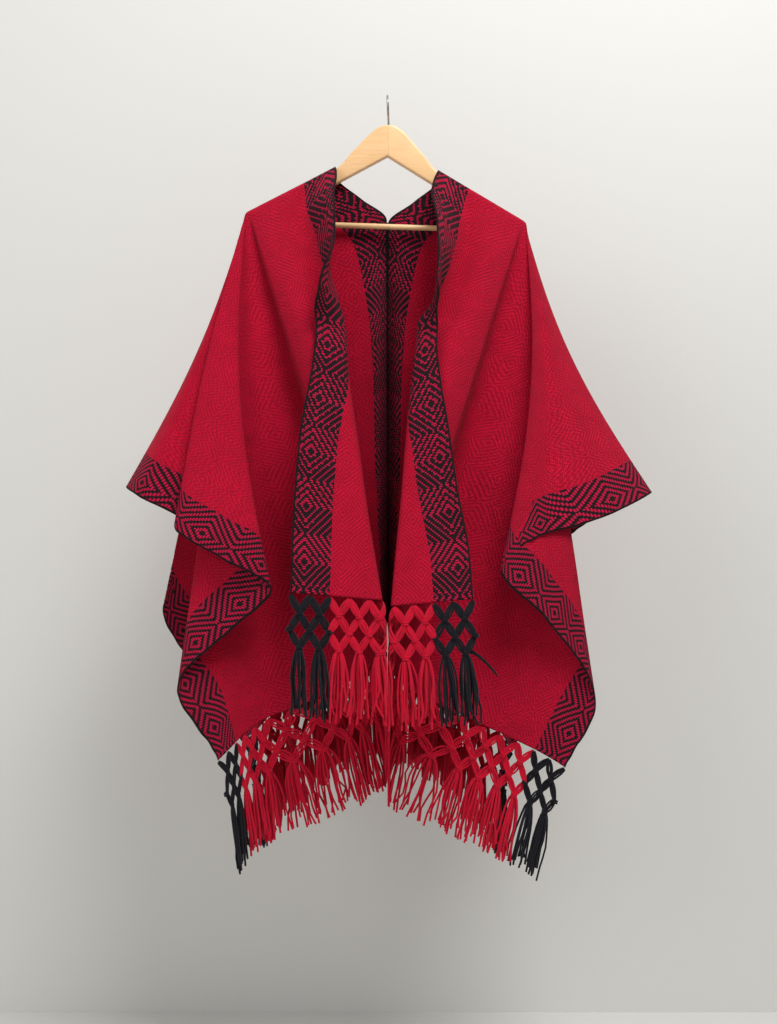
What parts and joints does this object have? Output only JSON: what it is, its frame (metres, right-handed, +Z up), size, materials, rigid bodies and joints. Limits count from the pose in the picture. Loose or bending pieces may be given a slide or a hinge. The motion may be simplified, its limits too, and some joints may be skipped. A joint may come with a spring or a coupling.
{
  "type": "open-front poncho on a hanger",
  "caption": "Open-front handwoven wool poncho with patterned bands and a knotted, tasselled fringe at both hems, hanging on a varnished wooden clothes hanger",
  "frame": {"origin": "the underside of the hook's crown, where the hook rests on what it hangs from", "axes": "+Z up, X along the hanger with +X to the right of a viewer in front of the garment, +Y away from that viewer"},
  "size_m": [0.8242, 0.2748, 1.2279],
  "materials": {
    "red_wool": "fuzzy handwoven wool, red diamond twill with black and red patterned bands along the long edges",
    "fringe_yarn": "plied wool yarn, red, and black at the two ends of each hem",
    "varnished_wood": "clear satin varnish on pale wood",
    "steel_wire": "bright plated wire"
  },
  "bodies": {
    "root": {"panel_left": "red_wool", "panel_right": "red_wool", "fringe_front_left": "fringe_yarn", "fringe_front_right": "fringe_yarn", "fringe_back_left": "fringe_yarn", "fringe_back_right": "fringe_yarn", "hanger_body": "varnished_wood", "hanger_bar": "varnished_wood", "hanger_hook": "steel_wire"}
  },
  "joints": []
}
